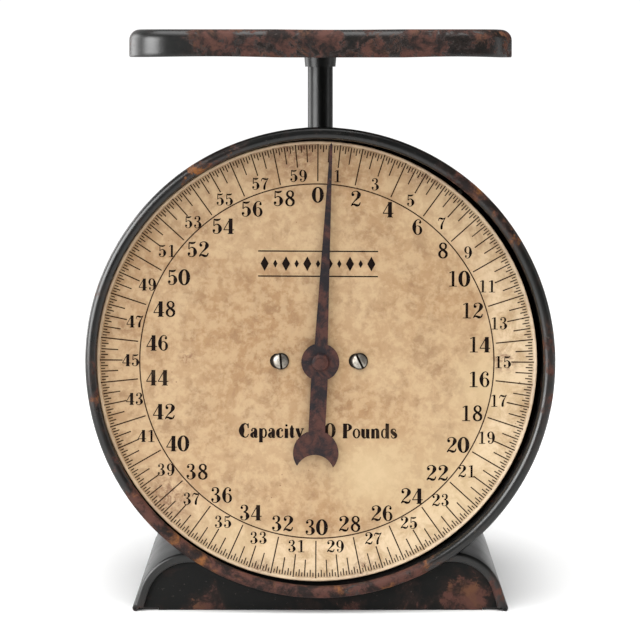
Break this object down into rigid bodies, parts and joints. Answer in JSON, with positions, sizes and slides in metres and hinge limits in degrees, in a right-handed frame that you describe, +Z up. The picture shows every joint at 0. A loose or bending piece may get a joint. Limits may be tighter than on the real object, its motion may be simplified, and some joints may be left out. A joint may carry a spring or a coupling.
{
  "type": "weighing scale",
  "caption": "Countertop dial scale: round drum with a printed dial and one-turn pointer on an arched pedestal, with a square sprung platform on a central post.",
  "frame": {"origin": "centre of the footprint on the floor, under the post", "axes": "+Z up along the post, the dial faces -Y, +X to the right of someone reading the dial"},
  "size_m": [0.2286, 0.187, 0.283],
  "materials": {
    "enamel": "worn black enamel with red-brown primer and rust showing through",
    "dial": "aged cream printed dial, mottled and stained",
    "nickel": "dull nickel plate",
    "bare_steel": "dull bare steel",
    "rusted": "black paint rusted through to brown",
    "brass": "dull machined brass",
    "spring_steel": "oiled spring wire"
  },
  "bodies": {
    "housing": {"drum_shell": "enamel", "rim_bezel": "enamel", "dial_plate": "dial", "dial_spacers": "bare_steel", "dial_screws": "nickel", "back_cover": "enamel", "back_screws": "nickel", "post_bush": "enamel", "base_wrap": "enamel", "base_front_panel": "enamel", "base_rear_panel": "enamel", "saddle_strap": "enamel", "saddle_block": "bare_steel", "saddle_screws": "nickel", "frame_plate": "bare_steel", "frame_screws": "nickel", "link_ears": "bare_steel", "arbor_bridge": "bare_steel", "arbor_bushes": "brass", "link_pivot_pins": "bare_steel", "zero_washer": "nickel"},
    "platform": {"platform_pan": "enamel", "pan_bracket": "enamel", "pan_rivets": "bare_steel", "post_collar": "enamel", "post_tube": "enamel", "guide_clamp": "bare_steel", "carriage_block": "bare_steel", "load_bar": "bare_steel", "rack_arm": "bare_steel", "rack": "brass", "rack_screws": "nickel"},
    "pointer_spindle": {"pointer": "rusted", "arbor": "bare_steel", "pinion": "brass", "arbor_clip": "bare_steel"},
    "upper_check_link": {"upper_link": "bare_steel"},
    "lower_check_link": {"lower_link": "bare_steel"},
    "spring_hanger": {"hanger_bar": "bare_steel", "left_spring": "spring_steel", "right_spring": "spring_steel"},
    "zero_adjuster": {"zero_screw": "bare_steel", "zero_knob": "brass"}
  },
  "joints": [
    {"name": "platform_slide", "type": "slide", "parent": "housing", "child": "platform", "axis": [0, 0, -1], "range_m": [0, 0.024], "stiffness_N_per_m": 11120, "springref_m": -0.0006, "deforming": ["left_spring", "right_spring"]},
    {"name": "pointer_turn", "type": "hinge", "parent": "housing", "child": "pointer_spindle", "pos_m": [0, -0.05, 0.1214], "axis": [0, 1, 0], "range_deg": [0, 360]},
    {"name": "upper_link_swing", "type": "hinge", "parent": "housing", "child": "upper_check_link", "pos_m": [0, -0.054, 0.178], "axis": [-1, 0, 0], "range_deg": [0, 19.6]},
    {"name": "lower_link_swing", "type": "hinge", "parent": "housing", "child": "lower_check_link", "pos_m": [0, -0.054, 0.058], "axis": [-1, 0, 0], "range_deg": [0, 19.6]},
    {"name": "zero_screw_turn", "type": "hinge", "parent": "housing", "child": "zero_adjuster", "pos_m": [0, 0.024, 0.234], "axis": [0, 0, 1], "range_deg": [-360, 360]},
    {"name": "hanger_slide", "type": "slide", "parent": "housing", "child": "spring_hanger", "axis": [0, 0, 1], "range_m": [-0.0008, 0.0008]}
  ],
  "couplings": [
    {"joint": "pointer_turn", "follows": "platform_slide", "rad_per_m": 261.8},
    {"joint": "upper_link_swing", "follows": "platform_slide", "rad_per_m": 14.252},
    {"joint": "lower_link_swing", "follows": "platform_slide", "rad_per_m": 14.252},
    {"joint": "zero_screw_turn", "follows": "hanger_slide", "rad_per_m": -7853.9}
  ]
}
